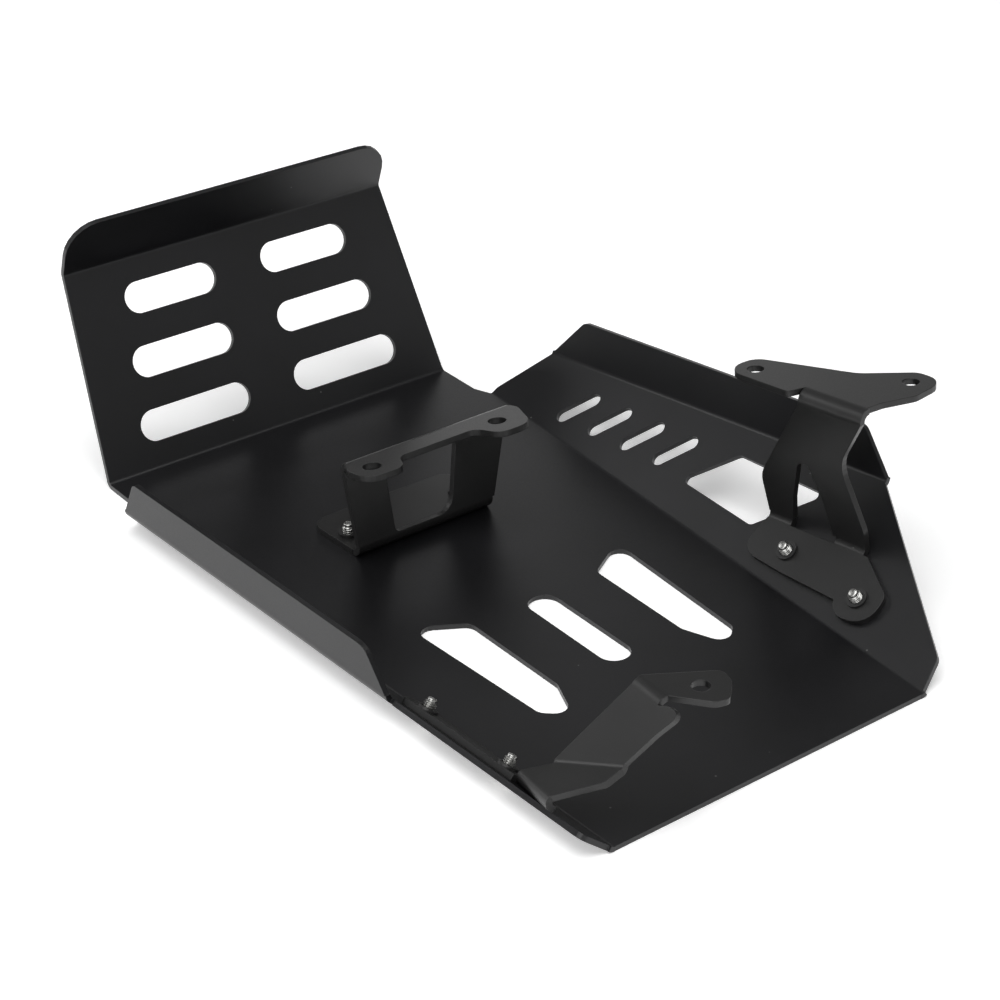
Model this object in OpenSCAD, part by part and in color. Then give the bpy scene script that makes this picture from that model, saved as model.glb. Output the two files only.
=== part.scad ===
// Motorcycle skid plate: a folded sheet tray with a slotted front panel, two bent-up sides and three
// screwed-on brackets. X points forward, Y to the left and Z up. The underside of the floor is z = 0.
// Lengths of folded faces are measured from the sharp line where their inner faces would meet.

/* [Sheet] */
// Thickness of the plate's sheet
sheet_t = 2.5; // [2:0.1:3.5]
// Inside radius of the plate's folds
bend_r = 2.5; // [1.5:0.5:4]

/* [Floor] */
// Distance from the middle of the central slot back to the rear edge
rear_len = 131.5; // [125:0.5:150]
// Distance from the middle of the central slot forward to the front panel's fold
front_len = 242; // [230:1:260]
// Length of the central floor slot
mid_slot_len = 64.5; // [40:0.5:90]
// Width of the central floor slot
mid_slot_w = 16; // [8:0.5:24]
// Corner radius of the two five-sided floor openings
opening_r = 6; // [2:0.5:7]

/* [Front panel] */
// Slope of the front panel above the floor, in degrees
panel_angle = 64.7; // [45:0.5:85]
// Height of the front panel along its slope, up to the lip's fold
panel_h = 105; // [100:1:130]
// Half of the front panel's width at the floor
panel_half_low = 102.6; // [98:0.2:104]
// Half of the front panel's width at the lip's fold
panel_half_high = 94.4; // [85:0.2:102]
// Angle that the lip is bent back from the panel, in degrees
panel_lip_angle = 44; // [20:1:75]
// Height of the panel's lip
panel_lip_h = 28.5; // [22:0.5:45]
// Corner radius of the panel's lip
panel_lip_r = 17; // [4:0.5:20]
// Width of the slots in the front panel
slot_w = 16; // [8:0.5:22]
// Distance between rows of slots
slot_pitch = 31.7; // [26:0.1:33]
// Height of the lowest row of slots above the fold
slot_low_h = 20.9; // [16:0.1:24]
// Length of the lowest slots
slot_low_len = 64; // [40:0.5:70]
// Length lost by the slots from one row to the next
slot_len_step = 5.7; // [0:0.1:8]

/* [Right wall] */
// Slope of the right wall above the floor, in degrees
wall_angle = 35; // [20:1:60]
// Height of the wall along its slope at the central slot
wall_h = 66.7; // [62:0.5:75]
// Angle that the wall's lip is bent in from the wall, in degrees
wall_lip_angle = 45; // [20:1:75]
// Height of the wall's lip
wall_lip_h = 22; // [15:0.5:35]
// Width of the four slanted slots
vent_w = 8; // [4:0.5:10]
// Length of the four slanted slots
vent_len = 25.5; // [14:0.5:27]

/* [Left side] */
// Slope of the left strip above the floor, in degrees
strip_angle = 38; // [20:1:60]
// Width of the left strip
strip_w = 15; // [14:0.5:20]
// Height of the upright flange on the strip
flange_h = 19; // [10:0.5:30]

/* [Brackets] */
// Thickness of the three brackets
bracket_t = 3; // [2:0.1:4]
// Inside radius of the brackets' folds
bracket_r = 3; // [2:0.5:4]
// Diameter of the two mounting holes in the centre bracket
centre_hole_d = 9; // [5:0.1:11]
// Diameter of the two mounting holes in the right wall bracket
wall_hole_d = 8; // [5:0.1:10]
// Diameter of the mounting hole in the left rear bracket
tab_hole_d = 8; // [5:0.1:10]
// Height of the centre bracket's top face above the floor, along its plate
centre_h = 51.3; // [40:0.5:80]
// Angle that the centre bracket's plate leans forward, in degrees
centre_lean = 9; // [0:1:20]
// Height of the right wall bracket's leg
leg_h = 70; // [60:1:90]
// Angle between the right wall bracket's pad and its leg, in degrees
leg_angle = 62; // [40:1:80]

/* [Screws] */
// Diameter of the screws
screw_d = 6; // [4:0.1:7]
// Diameter of the screws' flush heads
head_d = 10.6; // [9:0.1:12]
// How far the screw ends stand out of the collars
screw_out = 4.5; // [1:0.5:10]
// Outer diameter of the collars
collar_d = 10; // [8.5:0.1:12]
// Height of the collars
collar_h = 1.2; // [0.8:0.1:3]
// Radial gap round a screw in its holes
screw_gap = 0.2; // [0.1:0.05:0.4]

/* [Hidden] */
$fn = 48;
far = 600;
arc_steps = 6;

// Each fold has a short flat lap at both ends, in which the faces start. The fold's ends and laps
// are a hair smaller than the faces, so that no two surfaces lie on each other.
lap = 0.2;
tuck = lap / 2;
hair = 0.01;

// Fold lines of the two sides: their distance from the middle at x = 0, and their slope in plan
right_fold_y = 93.6;
right_fold_slope = 3.85;
left_fold_y = 95;
left_fold_slope = 2.4;
side_front = 205;
side_rise = 0.42;

// Places of the screws, each in the frame of the face that they go through
wall_screws = [[-22.9, 17.7], [-72.2, 17.6]];
centre_screws_at = [[127, 38], [127, -27]];
strip_screws = [[-18, 6.5], [-70.5, 6.5]];
screw_hole_r = screw_d / 2 + screw_gap;
seat_t = sheet_t + bracket_t;

// Corners of the left five-sided floor opening; the right one mirrors it
side_opening = [[46.7, 61.2], [32, 36.5], [-29.3, 35.8], [-51.5, 44.8], [-41.6, 55.7]];

// Openings of the right wall, measured up its slope: the slots start here and step rearwards
vent_first = [148.6, 19.4];
vent_step = [-23.85, 3.15];
vent_turn = 119;
wall_opening = [[61.7, 18.2], [42.9, 45], [-15, 51.2], [7.4, 18.9]];
wall_opening_r = 3;

// Centre bracket: inner line of its upright fold, and the half widths of its plate
centre_x = 110;
centre_foot_len = 37;
centre_foot_flare = 2;
centre_foot_r = 8;
centre_left = [45, 48];
centre_right = [-33.5, -46];
centre_window = [-16, 26];
centre_window_low = [-9, 24];
centre_window_gap = 5;

// Its flange: a narrow middle between two ears, which carry the holes
flange_strip = 15;
ear_reach = 29;
left_ear = 52;
right_ear = -40;
centre_holes = [42.1, -30.2];
centre_hole_reach = 15;

// Right wall bracket: its fold's place on the wall, its outlines, and its holes in the top plate
wall_bracket_at = [-0.7, 28.5];
wall_bracket_turn = -9.3;
leg_foot = [-57.6, 1];
leg_top = [-61, -24];
leg_top_angle = 96;
leg_window_foot = [-40, -13];
wall_pad = [
    [leg_foot[1], 0, 0], [4, -22, 9], [-24, -25, 9], [-58, -27, 0],
    [-62, -34, 9], [-82, -33, 11], [-81, -16, 6], [leg_foot[0], 0, 0]
];
leg_window = [
    [leg_window_foot[1], -5, 0], [-15, 14, 8], [-20, 34, 3],
    [-26, 36, 3], [-34, 18, 8], [leg_window_foot[0], -5, 0]
];
top_plate = [
    [-21, -6, 2], [18, -6, 9], [16, 12, 9], [-32, 29, 20],
    [-52, 47, 8], [-67, 47, 9], [-68, 27, 9], [-61.5, 12, 9]
];
wall_holes_at = [[7.1, 3], [-56.4, 36.8]];

// Left rear bracket: ends of its pad, then each fold's line, turn and angle in the face before it
strap_front = -6;
strap_rear = -79.3;
strap_edge = 11.5;
strap_inner = 1.3;
hem_turn = -20;
hem_angle = 121;
hem_len = 29;
hem_r = 0.8;
hem_shift = 1.5;
riser_top = [-9.5, 17.1];
riser_rear = [-43.5, 24, 5];
arm_turn = -27;
arm_angle = 35;
arm_foot = 36.8;
arm_top = [-34.3, 36.2];
arm_rear = [[-53.2, 25.4, 0], [-61.5, 22.5, 3], [-50, 13.5, 8]];
tab_turn = 27;
tab_angle = 51;
tab_w = 17.4;
tab_end = [[-31.6, 15.4, 5], [-33.2, 21.5, 3], [-24.5, 29.4, 5], [-16.4, 31.3, 5]];
tab_hole = [-19.7, 17.4];

function unit(v) = v / norm(v);

function turned(v, a) = [v[0] * cos(a) - v[1] * sin(a), v[0] * sin(a) + v[1] * cos(a)];

// How far a fold starts before its sharp inner line
function setback(angle, radius) = radius * tan(angle / 2);

// Arc that rounds the corner b between a and c
function corner(a, b, c, r) =
    let (u = unit(a - b), v = unit(c - b), half = acos(u * v) / 2)
    let (middle = b + unit(u + v) * r / sin(half), arm = b + u * r / tan(half) - middle)
    let (sweep = (180 - 2 * half) * sign(cross(b - a, c - b)))
    [for (k = [0:arc_steps]) middle + turned(arm, sweep * k / arc_steps)];

// Outline whose corners are [x, y, radius]; a radius of 0 keeps the corner sharp
function rounded(corners) =
    let (n = len(corners), p = [for (q = corners) [q[0], q[1]]])
    [for (i = [0:n - 1]) each corners[i][2] > 0
        ? corner(p[(i + n - 1) % n], p[i], p[(i + 1) % n], corners[i][2])
        : [p[i]]];

// The same radius at every corner
function same_radius(points, r) = [for (p = points) [p[0], p[1], r]];

module stadium(length, width) {
    square([length - width, width], center = true);
    for (side = [-1, 1]) translate([side * (length - width) / 2, 0]) circle(d = width);
}

// Section of a fold, from straight down round towards +X, with a short flat lap at both ends
module fold_section(angle, thick, radius) {
    reach = 2 * (radius + thick);
    intersection() {
        difference() {
            circle(r = radius + thick);
            circle(r = radius);
        }
        translate([0, -reach]) square([reach, 2 * reach]);
        rotate(angle) translate([-reach, -reach]) square([reach, 2 * reach]);
    }
    translate([-lap, hair - radius - thick]) square([lap + hair, thick - 2 * hair]);
    rotate(angle) translate([-hair, hair - radius - thick]) square([lap + hair, thick - 2 * hair]);
}

// A fold upwards beyond the local X axis, drawn over each [x0, x1] of spans. Its children are drawn
// in the frame of the folded face, whose y starts at the sharp inner line.
module fold_up(spans, angle, thick, radius) {
    back = setback(angle, radius);
    translate([0, -back, thick + radius]) {
        for (span = spans) translate([span[0] + hair, 0, 0]) rotate([90, 0, 90])
            linear_extrude(span[1] - span[0] - 2 * hair) fold_section(angle, thick, radius);
        rotate([angle, 0, 0]) translate([0, -back, -thick - radius]) children();
    }
}

// The same fold, bent downwards
module fold_down(spans, angle, thick, radius) {
    translate([0, 0, thick]) mirror([0, 0, 1]) fold_up(spans, angle, thick, radius) children();
}

// Keeps the part of an outline that lies beyond a fold, or before it
module beyond(back) {
    difference() {
        children();
        translate([-far, -far]) square([2 * far, far + back + tuck]);
    }
}

module before(back) {
    difference() {
        children();
        translate([-far, -back - tuck]) square([2 * far, far + back + tuck]);
    }
}

// Frames of the folds: y points out of the floor
module at_right() {
    mirror([0, 1, 0]) translate([0, right_fold_y, 0]) rotate([0, 0, right_fold_slope]) children();
}

module at_left() {
    translate([0, left_fold_y, 0]) rotate([0, 0, left_fold_slope]) children();
}

module at_front() {
    translate([front_len, 0, 0]) rotate([0, 0, -90]) children();
}

// Frame of the right wall's outer face, and of the left strip's
module on_wall() {
    back = setback(wall_angle, bend_r);
    at_right() translate([0, -back, sheet_t + bend_r]) rotate([wall_angle, 0, 0])
        translate([0, -back, -sheet_t - bend_r]) children();
}

module on_strip() {
    back = setback(strip_angle, bend_r);
    at_left() translate([0, -back, sheet_t + bend_r]) rotate([strip_angle, 0, 0])
        translate([0, -back, -sheet_t - bend_r]) children();
}

// Ends of the side folds, measured along them
right_rear = -rear_len / cos(right_fold_slope);
left_rear = -rear_len / cos(left_fold_slope);

// Corner of the floor where a side's fold starts, at the length s along it
function fold_point(s, fold_y, slope, back) =
    [s * cos(slope) + back * sin(slope), fold_y + s * sin(slope) - back * cos(slope)];

module floor_openings() {
    stadium(mid_slot_len, mid_slot_w);
    for (side = [0, 1]) mirror([0, side])
        polygon(rounded(same_radius(side_opening, opening_r)));
}

module floor_outline() {
    left_back = setback(strip_angle, bend_r) + tuck;
    right_back = setback(wall_angle, bend_r) + tuck;
    front_x = front_len - setback(panel_angle, bend_r) - tuck;
    neck_x = 214;
    left = [
        fold_point(left_rear + tuck, left_fold_y, left_fold_slope, left_back),
        fold_point(side_front - tuck, left_fold_y, left_fold_slope, left_back),
        [neck_x, panel_half_low], [front_x, panel_half_low]
    ];
    right = [
        [front_x, panel_half_low], [neck_x, panel_half_low],
        fold_point(side_front - tuck, right_fold_y, right_fold_slope, right_back),
        fold_point(right_rear + tuck, right_fold_y, right_fold_slope, right_back)
    ];
    difference() {
        polygon(concat(left, [for (p = right) [p[0], -p[1]]]));
        floor_openings();
    }
}

module panel_slots() {
    for (row = [0:2]) {
        length = slot_low_len - row * slot_len_step;
        inner_end = 13.7;
        for (side = [-1, 1])
            translate([side * (inner_end + length / 2), slot_low_h + row * slot_pitch])
                stadium(length, slot_w);
    }
}

module front_panel() {
    lip_back = setback(panel_lip_angle, bend_r);
    at_front() fold_up([[-panel_half_low, panel_half_low]], panel_angle, sheet_t, bend_r) {
        linear_extrude(sheet_t) beyond(setback(panel_angle, bend_r)) difference() {
            polygon([
                [-panel_half_low, 0], [panel_half_low, 0],
                [panel_half_high, panel_h - lip_back], [-panel_half_high, panel_h - lip_back]
            ]);
            panel_slots();
        }
        translate([0, panel_h, 0])
            fold_up([[-panel_half_high, panel_half_high]], panel_lip_angle, sheet_t, bend_r)
                linear_extrude(sheet_t) beyond(lip_back) polygon(rounded([
                    [-panel_half_high, 0, 0], [panel_half_high, 0, 0],
                    [panel_half_high, panel_lip_h, panel_lip_r],
                    [-panel_half_high, panel_lip_h, panel_lip_r]
                ]));
    }
}

// The wall's lip fold falls towards the front
wall_lip_slope = -9;
wall_lip_front = 192;
wall_lip_rear = -36;

module wall_holes() {
    for (i = [0:3]) translate(vent_first + i * vent_step) rotate(vent_turn) stadium(vent_len, vent_w);
    polygon(rounded(same_radius(wall_opening, wall_opening_r)));
}

module right_wall() {
    lip_back = setback(wall_lip_angle, bend_r);
    lip_len = (wall_lip_front - wall_lip_rear) / cos(wall_lip_slope);
    front_h = wall_h - wall_lip_front * tan(-wall_lip_slope);
    rear_h = wall_h - wall_lip_rear * tan(-wall_lip_slope);
    at_right() fold_up([[right_rear, side_front]], wall_angle, sheet_t, bend_r) {
        difference() {
            linear_extrude(sheet_t) beyond(setback(wall_angle, bend_r)) difference() {
                polygon(rounded([
                    [right_rear, -sheet_t, 0], [side_front, -sheet_t, 0],
                    [side_front, 4, 3], [wall_lip_front, front_h - lip_back, 0],
                    [wall_lip_rear, rear_h - lip_back, 0],
                    [right_rear + 7, 16.5, 6]
                ]));
                wall_holes();
            }
            for (p = wall_screws) translate(p) screw_hole();
        }
        translate([wall_lip_front, front_h, 0]) rotate(wall_lip_slope)
            fold_up([[-lip_len, 0]], wall_lip_angle, sheet_t, bend_r)
                linear_extrude(sheet_t) beyond(lip_back) polygon(rounded([
                    [-lip_len, 0, 0], [0, 0, 0],
                    [-wall_lip_h, wall_lip_h, 6], [wall_lip_h * 0.8 - lip_len, wall_lip_h, 6]
                ]));
    }
}

module left_side() {
    flange_rear = -4;
    strip_front = side_front - (strip_w - 4) * side_rise;
    turn = 90 - strip_angle;
    flange_back = setback(turn, bend_r);
    notch_w = 3;
    at_left() fold_up([[left_rear, side_front]], strip_angle, sheet_t, bend_r) {
        difference() {
            linear_extrude(sheet_t) beyond(setback(strip_angle, bend_r)) polygon(rounded([
                [left_rear, -sheet_t, 0], [side_front, -sheet_t, 0],
                [side_front, 4, 0], [strip_front, strip_w - flange_back, 0],
                [flange_rear, strip_w - flange_back, 0], [flange_rear - notch_w, strip_w - flange_back, 0],
                [flange_rear - notch_w, strip_w, 0], [left_rear + 5, strip_w, 5]
            ]));
            for (p = strip_screws) translate(p) screw_hole();
        }
        translate([0, strip_w, 0]) fold_up([[flange_rear, strip_front]], turn, sheet_t, bend_r)
            linear_extrude(sheet_t) beyond(flange_back) polygon(rounded([
                [flange_rear, 0, 0], [strip_front, 0, 0],
                [strip_front - 9, flange_h, 4], [flange_rear + 15, flange_h, 10]
            ]));
    }
}

// Hole for one screw, with the seat of its flush head on the outer face
module screw_hole() {
    seat = head_d / 2 + screw_gap;
    translate([0, 0, -1]) cylinder(r = screw_hole_r, h = seat_t + 2);
    translate([0, 0, -0.01]) cylinder(r1 = seat, r2 = screw_hole_r, h = seat - screw_hole_r);
}

module screw() {
    grip = seat_t + collar_h + screw_out;
    tip = 0.8;
    cone = (head_d - screw_d) / 2;
    key_af = 4;
    difference() {
        union() {
            cylinder(d1 = head_d, d2 = screw_d, h = cone);
            cylinder(d = screw_d, h = grip - tip);
            translate([0, 0, grip - tip]) cylinder(d1 = screw_d, d2 = screw_d - 2 * tip, h = tip);
        }
        translate([0, 0, -1]) cylinder(d = key_af / cos(30), h = 2.8, $fn = 6);
    }
}

module collar() {
    translate([0, 0, seat_t]) difference() {
        cylinder(d = collar_d, h = collar_h);
        translate([0, 0, -1]) cylinder(r = screw_hole_r, h = collar_h + 2);
    }
}

module main_plate() {
    color("#232427") {
        difference() {
            linear_extrude(sheet_t) floor_outline();
            for (p = centre_screws_at) translate(p) screw_hole();
        }
        front_panel();
        right_wall();
        left_side();
    }
}

module centre_bracket() {
    back = setback(90 + centre_lean, bracket_r);
    outer = bracket_t * tan((90 + centre_lean) / 2);
    plate_h = centre_h - bracket_t - outer;
    top_back = setback(90, bracket_r);
    color("#2b2b2d") translate([centre_x, 0, sheet_t]) rotate(90) {
        difference() {
            linear_extrude(bracket_t) before(back) polygon(rounded([
                [centre_right[0], 0, 0], [centre_left[0], 0, 0],
                [centre_left[0] + centre_foot_flare, -centre_foot_len, centre_foot_r],
                [centre_right[0] - centre_foot_flare, -centre_foot_len, centre_foot_r]
            ]));
            for (p = centre_screws_at) translate([p[1], centre_x - p[0], 0]) bracket_hole(2 * screw_hole_r);
        }
        fold_up([[centre_right[0], centre_left[0]]], 90 + centre_lean, bracket_t, bracket_r) {
            linear_extrude(bracket_t) beyond(back) difference() {
                polygon([
                    [centre_right[0], 0], [centre_left[0], 0],
                    [centre_left[1], plate_h - top_back], [centre_right[1], plate_h - top_back]
                ]);
                centre_bracket_window(back + 0.5, plate_h - centre_window_gap);
            }
            translate([0, plate_h, 0])
                fold_down([[centre_right[1], centre_left[1]]], 90, bracket_t, bracket_r) difference() {
                    linear_extrude(bracket_t) beyond(top_back) centre_flange();
                    for (x = centre_holes) translate([x, centre_hole_reach, 0]) bracket_hole(centre_hole_d);
                }
        }
    }
}

module centre_bracket_window(low, high) {
    polygon(rounded([
        [centre_window[0], high, 3], [centre_window[1], high, 3],
        [centre_window_low[1], low, 3], [centre_window_low[0], low, 9]
    ]));
}

module centre_flange() {
    polygon(rounded([
        [centre_right[1], 0, 0], [centre_left[1], 0, 0],
        [centre_left[1] + 5, 11, 8], [left_ear, ear_reach - 2, 10], [left_ear - 20, ear_reach - 2, 8],
        [27, flange_strip, 6], [-17, flange_strip, 6],
        [right_ear + 18, ear_reach, 8], [right_ear, ear_reach, 10], [centre_right[1] - 2, 8, 6]
    ]));
}

// Round hole of the diameter d through a face of a bracket
module bracket_hole(d) {
    translate([0, 0, -1]) cylinder(d = d, h = bracket_t + 2);
}

module right_wall_bracket() {
    back = setback(leg_angle, bracket_r);
    top_back = setback(leg_top_angle, bracket_r);
    color("#2b2b2d") on_wall() translate([0, 0, sheet_t]) {
        difference() {
            translate(wall_bracket_at) rotate(wall_bracket_turn) linear_extrude(bracket_t)
                before(back) polygon(rounded(wall_pad));
            for (p = wall_screws) translate(p) bracket_hole(2 * screw_hole_r);
        }
        translate(wall_bracket_at) rotate(wall_bracket_turn)
            fold_up([
                [leg_foot[0], leg_window_foot[0]], [leg_window_foot[1], leg_foot[1]]
            ], leg_angle, bracket_t, bracket_r) {
                linear_extrude(bracket_t) beyond(back) difference() {
                    polygon(rounded([
                        [leg_foot[0], -1, 0], [leg_foot[1], -1, 0], [4.5, 21, 12],
                        [leg_top[1], leg_h - top_back, 0], [leg_top[0], leg_h - top_back, 0],
                        [-46, 42, 16], [leg_foot[0], 10, 12]
                    ]));
                    polygon(rounded(leg_window));
                }
                translate([0, leg_h, 0])
                    fold_down([leg_top], leg_top_angle, bracket_t, bracket_r) difference() {
                        linear_extrude(bracket_t) polygon(rounded(concat([
                            [leg_top[0] + 1, top_back + tuck, 0], [leg_top[1] - 0.5, top_back + tuck, 0]
                        ], top_plate)));
                        for (p = wall_holes_at) translate(p) bracket_hole(wall_hole_d);
                    }
            }
    }
}

// Frame beyond a fold whose outer line runs through the point p, turned by the angle turn
module at_fold(p, turn) {
    translate(p) rotate(turn) children();
}

// Pad under two screws, a riser hemmed back over its rear end, an arm and a level tab with a hole
module left_rear_bracket() {
    hem_back = setback(hem_angle, hem_r);
    hem_line = hem_shift - bracket_t * tan(hem_angle / 2);
    arm_back = setback(arm_angle, bracket_r);
    tab_back = setback(tab_angle, bracket_r);
    tab_line = -bracket_t * tan(tab_angle / 2);
    color("#2b2b2d") on_strip() translate([0, 0, sheet_t]) {
        difference() {
            linear_extrude(bracket_t) {
                polygon(rounded([
                    [strap_front, strap_inner, 3], [strap_front, strap_edge, 3],
                    [strap_rear, strap_edge, 0], [strap_rear - 4, strap_inner, 0]
                ]));
                at_fold([strap_rear, strap_edge], hem_turn) translate([0, hem_line]) before(hem_back)
                    polygon(rounded([
                        [0, 0, 0], [-hem_len, 0, 0], [-hem_len, -3.2, 0], [-8, -8.5, 0], [4, -4.6, 0]
                    ]));
            }
            for (p = strip_screws) translate(p) bracket_hole(2 * screw_hole_r);
        }
        at_fold([strap_rear, strap_edge], hem_turn) translate([0, hem_line, 0])
            fold_up([[-hem_len, 0]], hem_angle, bracket_t, hem_r)
                translate([0, hem_line, 0]) strap_riser(hem_back - hem_line, arm_back)
                    fold_down([[-arm_foot, 0]], arm_angle, bracket_t, bracket_r)
                        strap_arm(arm_back, tab_back - tab_line)
                            translate([0, tab_line, 0])
                                fold_down([[-tab_w, 0]], tab_angle, bracket_t, bracket_r)
                                    translate([0, tab_line, 0]) strap_tab(tab_back - tab_line);
    }
}

// Riser from y = low up to the arm's fold; its children start in that fold's frame
module strap_riser(low, back) {
    ends = [for (x = [-arm_foot, 0]) riser_top + turned([x, -back - tuck], arm_turn)];
    linear_extrude(bracket_t) polygon(rounded([
        [0, low + tuck, 0], [-hem_len, low + tuck, 0], riser_rear,
        [ends[0][0], ends[0][1], 0], [ends[1][0], ends[1][1], 0]
    ]));
    at_fold(riser_top, arm_turn) children();
}

// Arm from its fold up to the tab's; its children start in the tab's fold frame
module strap_arm(low, back) {
    ends = [for (x = [0, -tab_w - 1]) arm_top + turned([x, -back - tuck], tab_turn)];
    linear_extrude(bracket_t) polygon(rounded(concat([
        [0, low + tuck, 0], [ends[0][0], ends[0][1], 0], [ends[1][0], ends[1][1], 0]
    ], arm_rear, [[-arm_foot, low + tuck, 0]])));
    at_fold(arm_top, tab_turn) children();
}

module strap_tab(low) {
    difference() {
        linear_extrude(bracket_t) polygon(rounded(concat([
            [0, low + tuck, 0], [-tab_w, low + tuck, 0]
        ], tab_end)));
        translate(tab_hole) bracket_hole(tab_hole_d);
    }
}

module centre_screws() {
    color("#c9cacb") for (p = centre_screws_at) translate(p) screw();
}

module right_wall_screws() {
    color("#c9cacb") on_wall() for (p = wall_screws) translate(p) screw();
}

module left_rear_screws() {
    color("#c9cacb") on_strip() for (p = strip_screws) translate(p) screw();
}

module centre_collars() {
    color("#1b1b1c") for (p = centre_screws_at) translate(p) collar();
}

module right_wall_collars() {
    color("#1b1b1c") on_wall() for (p = wall_screws) translate(p) collar();
}

module left_rear_collars() {
    color("#1b1b1c") on_strip() for (p = strip_screws) translate(p) collar();
}

main_plate();
centre_bracket();
right_wall_bracket();
left_rear_bracket();
centre_screws();
right_wall_screws();
left_rear_screws();
centre_collars();
right_wall_collars();
left_rear_collars();
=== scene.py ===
import bpy
import math
from mathutils import Matrix, Vector


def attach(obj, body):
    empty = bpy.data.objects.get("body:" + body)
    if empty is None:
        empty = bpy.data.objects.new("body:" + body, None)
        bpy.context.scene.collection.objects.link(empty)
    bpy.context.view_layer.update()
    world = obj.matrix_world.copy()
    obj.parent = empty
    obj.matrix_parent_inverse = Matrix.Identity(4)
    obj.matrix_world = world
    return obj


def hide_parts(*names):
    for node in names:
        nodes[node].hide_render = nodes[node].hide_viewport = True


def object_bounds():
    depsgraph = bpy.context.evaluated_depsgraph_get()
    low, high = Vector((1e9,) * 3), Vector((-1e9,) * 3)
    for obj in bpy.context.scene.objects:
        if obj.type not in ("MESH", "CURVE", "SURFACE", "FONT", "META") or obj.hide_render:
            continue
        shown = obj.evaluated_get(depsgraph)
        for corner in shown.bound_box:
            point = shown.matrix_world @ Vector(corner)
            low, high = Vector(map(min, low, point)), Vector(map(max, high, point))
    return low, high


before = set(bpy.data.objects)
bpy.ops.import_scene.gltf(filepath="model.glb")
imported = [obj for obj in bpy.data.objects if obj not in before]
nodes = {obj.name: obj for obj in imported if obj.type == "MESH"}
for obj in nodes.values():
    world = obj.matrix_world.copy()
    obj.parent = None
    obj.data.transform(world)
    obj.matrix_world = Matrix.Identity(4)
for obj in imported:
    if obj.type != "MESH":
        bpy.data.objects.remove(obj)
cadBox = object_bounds()
mm = 0.001


def toLinear(code):
    channels = [int(code[i:i + 2], 16) / 255 for i in (1, 3, 5)]
    return [c / 12.92 if c <= 0.04045 else ((c + 0.055) / 1.055) ** 2.4 for c in channels] + [1.0]


def addNode(tree, kind, settings=None, inputs=None):
    # settings are the node's own options, inputs its sockets: a value, or the output that feeds it
    node = tree.nodes.new(kind)
    for name, value in (settings or {}).items():
        setattr(node, name, value)
    for name, value in (inputs or {}).items():
        if isinstance(value, bpy.types.NodeSocket):
            tree.links.new(value, node.inputs[name])
        else:
            node.inputs[name].default_value = value
    return node


def addObject(name, data):
    thing = bpy.data.objects.new(name, data)
    bpy.context.scene.collection.objects.link(thing)
    return thing


def newMaterial(name):
    material = bpy.data.materials.new(name)
    material.use_nodes = True
    material.node_tree.nodes.clear()
    return material, material.node_tree


def closeMaterial(tree, shader):
    addNode(tree, "ShaderNodeOutputMaterial", inputs={"Surface": shader.outputs[0]})


def perMetre(sizeMm):
    # texture scale at which one feature is sizeMm wide
    return 1.0 / (sizeMm * mm)


# Powder-coated steel: sprayed dry and baked, so it is a satin black skin with a fine sandy grain
powder = {
    "plateColour": "#101012",
    # brackets: the same powder coat, its colour painted lighter than the plate's as a painted sheen
    # for their brighter reflections
    "bracketColourPaintedLighter": "#1B1B1B",
    "roughness": 0.34,
    "smoother": 0.06,      # how far the grit moves the roughness down, and up
    "rougher": 0.08,
    "specular": 0.5,
    "grainMm": 0.55,       # real grit is about 0.1 mm, drawn coarser so that it shows
    "grainDepthMm": 0.016,
    "peelMm": 3.2,         # slow orange-peel waves under the grit
    "peelDepthMm": 0.03,
    "mottleMm": 55,        # soft change of tone across the sheet
    "palest": 1.32,        # the tone's ends, as shares of the colour
    "darkest": 0.74,
    "speckColour": "#8A8A88",
    "speckCellMm": 17,     # one dust speck or nib to about every other cell
    "speckCore": 0.018,    # a speck's solid middle and its faded rim, as shares of its cell
    "speckRim": 0.032,
    "speckFree": 0.45,     # share of the cells that have none
    "speckCover": 0.4,
    "edgeRadiusMm": 0.45,  # the coat rounds the cut edges
}


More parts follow.
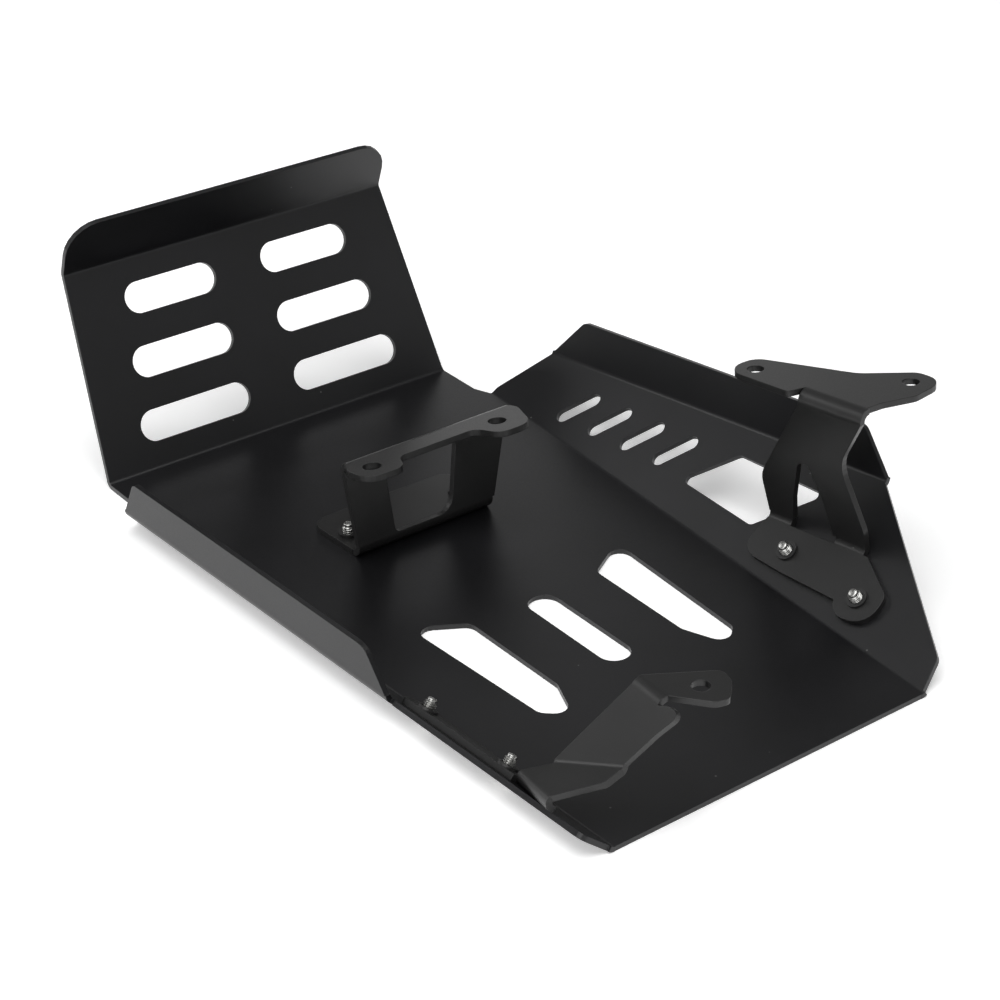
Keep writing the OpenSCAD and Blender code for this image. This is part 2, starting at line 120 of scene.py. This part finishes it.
def powderCoat(name, colour):
    material, tree = newMaterial(name)
    place = addNode(tree, "ShaderNodeTexCoord").outputs["Object"]
    grain = addNode(tree, "ShaderNodeTexNoise", inputs={
        "Vector": place, "Scale": perMetre(powder["grainMm"]), "Detail": 3.0, "Roughness": 0.6})
    peel = addNode(tree, "ShaderNodeTexNoise", inputs={
        "Vector": place, "Scale": perMetre(powder["peelMm"]), "Detail": 1.0})
    mottle = addNode(tree, "ShaderNodeTexNoise", inputs={
        "Vector": place, "Scale": perMetre(powder["mottleMm"]), "Detail": 4.0, "Roughness": 0.55})
    base = toLinear(colour)
    pale = [min(c * powder["palest"], 1.0) for c in base[:3]] + [1.0]
    dark = [c * powder["darkest"] for c in base[:3]] + [1.0]
    toned = addNode(tree, "ShaderNodeMapRange", inputs={
        "Value": mottle.outputs["Fac"], "From Min": 0.3, "From Max": 0.7})
    colourMix = addNode(tree, "ShaderNodeMix", {"data_type": "RGBA"}, {
        "Factor": toned.outputs["Result"], "A": dark, "B": pale})
    # nibs: a small pale dot near the middle of some cells
    cells = addNode(tree, "ShaderNodeTexVoronoi", {"feature": "F1"}, {
        "Vector": place, "Scale": perMetre(powder["speckCellMm"]), "Randomness": 1.0})
    near = addNode(tree, "ShaderNodeMapRange", inputs={
        "Value": cells.outputs["Distance"],
        "From Min": powder["speckCore"], "From Max": powder["speckRim"],
        "To Min": 1.0, "To Max": 0.0})
    channel = addNode(tree, "ShaderNodeSeparateColor", inputs={"Color": cells.outputs["Color"]})
    chosen = addNode(tree, "ShaderNodeMath", {"operation": "GREATER_THAN"}, {
        0: channel.outputs["Red"], 1: powder["speckFree"]})
    speck = addNode(tree, "ShaderNodeMath", {"operation": "MULTIPLY"}, {
        0: near.outputs["Result"], 1: chosen.outputs[0]})
    speckPart = addNode(tree, "ShaderNodeMath", {"operation": "MULTIPLY"}, {
        0: speck.outputs[0], 1: powder["speckCover"]})
    withSpecks = addNode(tree, "ShaderNodeMix", {"data_type": "RGBA"}, {
        "Factor": speckPart.outputs[0], "A": colourMix.outputs["Result"],
        "B": toLinear(powder["speckColour"])})
    gloss = addNode(tree, "ShaderNodeMapRange", inputs={
        "Value": grain.outputs["Fac"], "From Min": 0.3, "From Max": 0.7,
        "To Min": powder["roughness"] - powder["smoother"],
        "To Max": powder["roughness"] + powder["rougher"]})
    rounded = addNode(tree, "ShaderNodeBevel", {"samples": 6}, {
        "Radius": powder["edgeRadiusMm"] * mm})
    waves = addNode(tree, "ShaderNodeBump", inputs={
        "Height": peel.outputs["Fac"], "Strength": 0.35, "Distance": powder["peelDepthMm"] * mm,
        "Normal": rounded.outputs["Normal"]})
    grit = addNode(tree, "ShaderNodeBump", inputs={
        "Height": grain.outputs["Fac"], "Strength": 0.5, "Distance": powder["grainDepthMm"] * mm,
        "Normal": waves.outputs["Normal"]})
    shader = addNode(tree, "ShaderNodeBsdfPrincipled", inputs={
        "Base Color": withSpecks.outputs["Result"], "Roughness": gloss.outputs["Result"],
        "Specular IOR Level": powder["specular"], "Normal": grit.outputs["Normal"]})
    closeMaterial(tree, shader)
    return material


# Zinc-plated steel for the screws: rolled threads, bright and slightly streaked round the shank
zinc = {
    "colour": "#D2D2CF",
    "shade": "#8E8E8C",
    "roughness": 0.24,
    "smoother": 0.08,
    "rougher": 0.14,
    "streakMm": 0.3,
}


def platedSteel(name):
    material, tree = newMaterial(name)
    place = addNode(tree, "ShaderNodeTexCoord").outputs["Object"]
    streak = addNode(tree, "ShaderNodeTexNoise", inputs={
        "Vector": place, "Scale": perMetre(zinc["streakMm"]), "Detail": 2.0})
    colourMix = addNode(tree, "ShaderNodeMix", {"data_type": "RGBA"}, {
        "Factor": streak.outputs["Fac"],
        "A": toLinear(zinc["shade"]), "B": toLinear(zinc["colour"])})
    gloss = addNode(tree, "ShaderNodeMapRange", inputs={
        "Value": streak.outputs["Fac"],
        "To Min": zinc["roughness"] - zinc["smoother"],
        "To Max": zinc["roughness"] + zinc["rougher"]})
    shader = addNode(tree, "ShaderNodeBsdfPrincipled", inputs={
        "Base Color": colourMix.outputs["Result"], "Metallic": 1.0,
        "Roughness": gloss.outputs["Result"]})
    closeMaterial(tree, shader)
    return material


# Black oxide on the collars: dull steel with a faint grain
oxide = {
    "colour": "#141414",
    "sheen": "#2C2C2C",
    "roughness": 0.42,
    "specular": 0.5,
    "grainMm": 0.5,
    "grainDepthMm": 0.02,
}


def blackOxide(name):
    material, tree = newMaterial(name)
    place = addNode(tree, "ShaderNodeTexCoord").outputs["Object"]
    grain = addNode(tree, "ShaderNodeTexNoise", inputs={
        "Vector": place, "Scale": perMetre(oxide["grainMm"]), "Detail": 2.0})
    colourMix = addNode(tree, "ShaderNodeMix", {"data_type": "RGBA"}, {
        "Factor": grain.outputs["Fac"],
        "A": toLinear(oxide["colour"]), "B": toLinear(oxide["sheen"])})
    bump = addNode(tree, "ShaderNodeBump", inputs={
        "Height": grain.outputs["Fac"], "Strength": 0.3, "Distance": oxide["grainDepthMm"] * mm})
    shader = addNode(tree, "ShaderNodeBsdfPrincipled", inputs={
        "Base Color": colourMix.outputs["Result"], "Roughness": oxide["roughness"],
        "Specular IOR Level": oxide["specular"], "Normal": bump.outputs["Normal"]})
    closeMaterial(tree, shader)
    return material


def dress(name, material):
    slots = nodes[name].data.materials
    if not slots:
        slots.append(material)
    for index in range(len(slots)):
        slots[index] = material


# Screws with real threads in place of the plain ones: M6, with a turned end that has no thread.
# Lengths are in millimetres, along the screw from its head's outer face.
screw = {
    "places": {             # degrees from upright: tilt about X, then turn about Z
        "centre": {"tilt": 0.0, "turn": 0.0},
        "right_wall": {"tilt": -35.0, "turn": -3.85},
        "left_rear": {"tilt": 38.0, "turn": 2.4},
    },
    "diameter": 6.0,
    "pitch": 1.0,
    "threadDepth": 0.58,
    "threadStart": 3.4,     # inside the stack of sheets
    "threadIn": 0.6,        # length over which the thread rises from the shank
    "threadOut": 0.5,       # and over which it dies away at the point
    "threadOutLeft": 0.15,  # share of its height that is left there
    "crestFlat": 1.35,      # profile of one pitch: how wide the crest is
    "flankSlope": 3.2,      # and how steep its flanks are
    "pointLength": 1.3,     # the turned end beyond the last thread
    "pointRadius": 2.3,
    "pointStep": 0.15,
    "domeBase": 0.25,       # from the turned end's top down to where the dome starts
    "domeHeight": 0.35,
    "domeBow": 0.6,         # below 1 the dome is fuller than a ball
    "domeRows": (0.25, 0.5, 0.75),
    "headRadius": 5.3,
    "headBreak": 0.2,       # the head's broken edge: across, and deep
    "headBreakDepth": 0.12,
    "keyWidth": 4.0,
    "keyDepth": 1.8,
    "around": 48,           # vertices round each ring
    "rowsPerPitch": 12,
    "sharpDegrees": 38,     # edges sharper than this stay crisp
}


def looseParts(mesh):
    # vertex positions of each connected part; vertices at one place count as joined
    parent = list(range(len(mesh.vertices)))

    def root(i):
        while parent[i] != i:
            parent[i] = parent[parent[i]]
            i = parent[i]
        return i

    for edge in mesh.edges:
        a, b = edge.vertices
        parent[root(a)] = root(b)
    firstAt = {}
    for vertex in mesh.vertices:
        spot = tuple(round(c / mm, 3) for c in vertex.co)
        parent[root(vertex.index)] = root(firstAt.setdefault(spot, vertex.index))
    parts = {}
    for vertex in mesh.vertices:
        parts.setdefault(root(vertex.index), []).append(vertex.co.copy())
    return list(parts.values())


def screwRings(length):
    # each ring is a height with one radius per vertex, from the key socket's floor to the dome
    steps = screw["around"]
    full = screw["diameter"] / 2
    head = screw["headRadius"]
    key = []                # a hexagon, as radii round the screw
    for i in range(steps):
        fromFlat = math.radians((360 * i / steps) % 60 - 30)
        key.append(screw["keyWidth"] / 2 / math.cos(fromFlat))
    rings = [
        (screw["keyDepth"], key),
        (0.0, key),
        (0.0, [head - screw["headBreak"]] * steps),
        (screw["headBreakDepth"], [head] * steps),
        (head - full, [full - screw["threadDepth"]] * steps),
    ]
    start = screw["threadStart"]
    end = length - screw["pointLength"] - screw["domeHeight"]
    count = round((end - start) / screw["pitch"] * screw["rowsPerPitch"])
    for row in range(count + 1):
        height = start + (end - start) * row / count
        fadeIn = (height - start) / screw["threadIn"]
        fadeOut = (end - height) / screw["threadOut"] + screw["threadOutLeft"]
        fade = min(1.0, fadeIn, fadeOut)
        ring = []
        for i in range(steps):
            phase = (height / screw["pitch"] - i / steps) % 1.0
            crest = screw["crestFlat"] - abs(phase - 0.5) * screw["flankSlope"]
            crest = min(1.0, max(0.0, crest))
            ring.append(full - screw["threadDepth"] * (1.0 - crest * max(fade, 0.0)))
        rings.append((height, ring))
    point = screw["pointRadius"]
    rings.append((end + screw["pointStep"], [point] * steps))
    shoulder = end + screw["pointLength"] - screw["domeBase"]
    rings.append((shoulder, [point] * steps))
    dome = screw["domeBase"] + screw["domeHeight"]
    for part in screw["domeRows"]:
        angle = math.radians(90 * part)
        rings.append((shoulder + dome * math.sin(angle),
                      [point * math.cos(angle) ** screw["domeBow"]] * steps))
    return rings


def threadedScrews(name, place):
    turn = Matrix.Rotation(math.radians(place["turn"]), 3, "Z")
    tilt = Matrix.Rotation(math.radians(place["tilt"]), 3, "X")
    axis = (turn @ tilt) @ Vector((0, 0, 1))
    side = axis.cross(Vector((0, 1, 0))).normalized()
    across = axis.cross(side)
    vertices, faces = [], []
    steps = screw["around"]
    for part in looseParts(nodes[name + "_screws"].data):
        heights = [point.dot(axis) for point in part]
        low, high = min(heights), max(heights)
        head = [point for point, height in zip(part, heights) if height < low + 0.1 * mm]
        foot = sum(head, Vector()) / len(head)
        rings = screwRings((high - low) / mm)
        base = len(vertices)
        vertices.append(foot + axis * (rings[0][0] * mm))
        for height, radii in rings:
            for i, radius in enumerate(radii):
                angle = 2 * math.pi * i / steps
                spot = side * math.cos(angle) + across * math.sin(angle)
                vertices.append(foot + axis * (height * mm) + spot * (radius * mm))
        vertices.append(foot + axis * (high - low))
        last = len(vertices) - 1
        for i in range(steps):
            j = (i + 1) % steps
            faces.append((base, base + 1 + i, base + 1 + j))
            faces.append((last, last - steps + j, last - steps + i))
            for ring in range(len(rings) - 1):
                below = base + 1 + ring * steps
                faces.append((below + i, below + steps + i, below + steps + j, below + j))
    mesh = bpy.data.meshes.new(name + "_screws_threaded")
    mesh.from_pydata(vertices, [], faces)
    mesh.validate()
    mesh.materials.append(screwSteel)
    mesh.polygons.foreach_set("use_smooth", [True] * len(mesh.polygons))
    mesh.set_sharp_from_angle(angle=math.radians(screw["sharpDegrees"]))
    piece = addObject(name + "_screws_threaded", mesh)
    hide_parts(name + "_screws")
    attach(piece, "root")
    print(name, "screws:", len(faces), "faces")


plateCoat = powderCoat("satinBlackPowderCoat", powder["plateColour"])
# the brackets' coat: the plate's powder coat with a lighter colour, a painted sheen that stands in
# for their brighter reflections
bracketCoatPaintedLighter = powderCoat("satinBlackPowderCoatBracketPaintedLighter", powder["bracketColourPaintedLighter"])
screwSteel = platedSteel("zincPlatedSteel")
collarSteel = blackOxide("blackOxideSteel")
for nodeName in nodes:
    if nodeName.endswith("_screws"):
        dress(nodeName, screwSteel)
    elif nodeName.endswith("_collars"):
        dress(nodeName, collarSteel)
    elif nodeName.endswith("_bracket"):
        dress(nodeName, bracketCoatPaintedLighter)
    else:
        dress(nodeName, plateCoat)
print("materials made")
for setName, setPlace in screw["places"].items():
    threadedScrews(setName, setPlace)
print("screws threaded")

# A plain white studio; the camera stands where the photograph was taken from
studio = {
    "azimuth": 232.44,      # degrees round the part, 0 looks along +Y
    "elevation": 30.09,
    "focalPixels": 2444.0,  # focal length in pixels of the 1000 pixel frame
    "framePixels": 1000,
    "sensorMm": 36.0,
    "distance": 1.1,        # m, from the middle of the floor slot to the camera
    "slotPixel": (578.72, 627.03),  # where the middle of the floor slot is seen
    "floorTopMm": 2.5,
    "paper": "#FFFFFF",     # the walls round it have the same white
    "floorMetres": 12.0,
    "floorGapMm": 0.02,     # the paper lies this far under the part
    "paperLift": 0.3,       # white that the paper adds where it is seen, so that it reads as white
    "worldLow": 0.56,       # strength of the walls round the set, up to lowEdge
    "worldHigh": 0.2,       # and of the ceiling, from highEdge up
    "lowEdge": 0.2,         # both edges are heights on a unit sphere
    "highEdge": 0.48,
}
lamps = {                   # places, aims and sizes in metres, powers in watts
    "overhead": {"place": (-0.2, 0.3, 2.2), "aim": (0.05, 0, 0.03), "size": 2.0, "power": 34.0},
    "leftSide": {"place": (-0.9, 2.0, 0.9), "aim": (0.05, 0, 0.05), "size": 1.6, "power": 16.0},
    "facing": {"place": (1.95, -1.3, 0.82), "aim": (0.05, 0, 0.05), "size": 0.9, "power": 0.9},
    "frontLeft": {"place": (1.9, 1.0, 1.2), "aim": (0.05, 0, 0.05), "size": 1.1, "power": 8.0},
}


def placeCamera():
    turn = math.radians(studio["azimuth"])
    lift = math.radians(studio["elevation"])
    right = Vector((math.cos(turn), math.sin(turn), 0))
    forward = Vector((
        -math.sin(turn) * math.cos(lift), math.cos(turn) * math.cos(lift), -math.sin(lift)))
    up = right.cross(forward)
    half = studio["framePixels"] / 2
    acrossPx = studio["slotPixel"][0] - half
    downPx = studio["slotPixel"][1] - half
    perPixel = studio["distance"] / studio["focalPixels"]
    slot = Vector((0, 0, studio["floorTopMm"] * mm))
    eye = slot - right * acrossPx * perPixel + up * downPx * perPixel - forward * studio["distance"]
    data = bpy.data.cameras.new("camera")
    data.sensor_width = studio["sensorMm"]
    data.lens = studio["sensorMm"] * studio["focalPixels"] / studio["framePixels"]
    data.clip_end = 50
    camera = addObject("camera", data)
    axes = Matrix((right, up, -forward)).transposed().to_4x4()
    camera.matrix_world = Matrix.Translation(eye) @ axes
    bpy.context.scene.camera = camera


def placeLamp(name, lamp):
    data = bpy.data.lights.new(name, "AREA")
    data.size = lamp["size"]
    data.energy = lamp["power"]
    light = addObject(name, data)
    light.location = lamp["place"]
    beam = Vector(lamp["aim"]) - Vector(lamp["place"])
    light.rotation_euler = beam.to_track_quat("-Z", "Y").to_euler()


def paperFloor():
    # Matt studio paper: shaded by the lamps and the shadows, with some white added where it is seen
    material, tree = newMaterial("mattPaper")
    rays = addNode(tree, "ShaderNodeLightPath").outputs
    seen = addNode(tree, "ShaderNodeMath", {"operation": "MAXIMUM"}, {
        0: rays["Is Camera Ray"], 1: rays["Is Glossy Ray"]})
    seenToo = addNode(tree, "ShaderNodeMath", {"operation": "MAXIMUM"}, {
        0: seen.outputs[0], 1: rays["Is Transmission Ray"]})
    lift = addNode(tree, "ShaderNodeMath", {"operation": "MULTIPLY"}, {
        0: seenToo.outputs[0], 1: studio["paperLift"]})
    matt = addNode(tree, "ShaderNodeBsdfDiffuse", inputs={"Color": toLinear(studio["paper"])})
    glow = addNode(tree, "ShaderNodeEmission", inputs={
        "Color": toLinear(studio["paper"]), "Strength": lift.outputs[0]})
    both = addNode(tree, "ShaderNodeAddShader", inputs={0: matt.outputs[0], 1: glow.outputs[0]})
    closeMaterial(tree, both)
    half = studio["floorMetres"] / 2
    level = cadBox[0][2] - studio["floorGapMm"] * mm
    corners = [(x * half, y * half, level) for x, y in ((-1, -1), (1, -1), (1, 1), (-1, 1))]
    mesh = bpy.data.meshes.new("paper")
    mesh.from_pydata(corners, [], [(0, 1, 2, 3)])
    mesh.materials.append(material)
    paper = addObject("paper", mesh)


def studioWorld():
    world = bpy.data.worlds.new("studio")
    bpy.context.scene.world = world
    world.use_nodes = True
    tree = world.node_tree
    tree.nodes.clear()
    rays = addNode(tree, "ShaderNodeLightPath").outputs
    direction = addNode(tree, "ShaderNodeTexCoord").outputs["Generated"]
    height = addNode(tree, "ShaderNodeSeparateXYZ", inputs={"Vector": direction}).outputs["Z"]
    room = addNode(tree, "ShaderNodeMapRange", {"interpolation_type": "SMOOTHSTEP"}, {
        "Value": height, "From Min": studio["lowEdge"], "From Max": studio["highEdge"],
        "To Min": studio["worldLow"], "To Max": studio["worldHigh"]})
    strength = addNode(tree, "ShaderNodeMapRange", inputs={
        "Value": rays["Is Camera Ray"], "To Min": room.outputs["Result"], "To Max": 1.0})
    sky = addNode(tree, "ShaderNodeBackground", inputs={
        "Color": toLinear(studio["paper"]), "Strength": strength.outputs["Result"]})
    addNode(tree, "ShaderNodeOutputWorld", inputs={"Surface": sky.outputs[0]})


placeCamera()
paperFloor()
studioWorld()
for lampName, lampFacts in lamps.items():
    placeLamp(lampName, lampFacts)
bpy.context.scene.view_settings.view_transform = "Standard"
print("studio lit")
